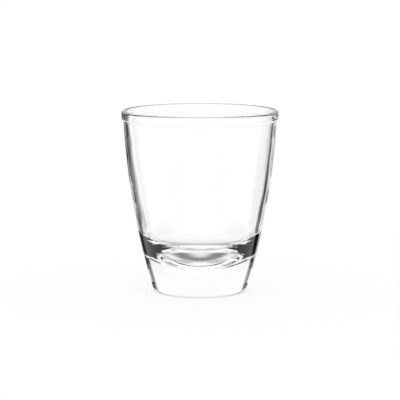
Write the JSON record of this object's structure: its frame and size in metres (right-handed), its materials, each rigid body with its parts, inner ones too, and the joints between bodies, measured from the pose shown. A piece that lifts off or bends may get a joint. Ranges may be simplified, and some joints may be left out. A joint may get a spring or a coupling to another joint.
{
  "type": "cortado glass",
  "caption": "Small tapered clear glass tumbler with bowed sides, a narrow lip around the rim and a thick solid base.",
  "frame": {"origin": "centre of the ring that the glass rests on, in the resting plane", "axes": "+Z along the axis of the glass, from the base up out of the mouth; X and Y lie in the resting plane and are alike"},
  "size_m": [0.0692, 0.0692, 0.08],
  "materials": {
    "clear_glass": "clear soda-lime glass, fire polished"
  },
  "bodies": {
    "root": {"glass": "clear_glass"}
  },
  "joints": []
}
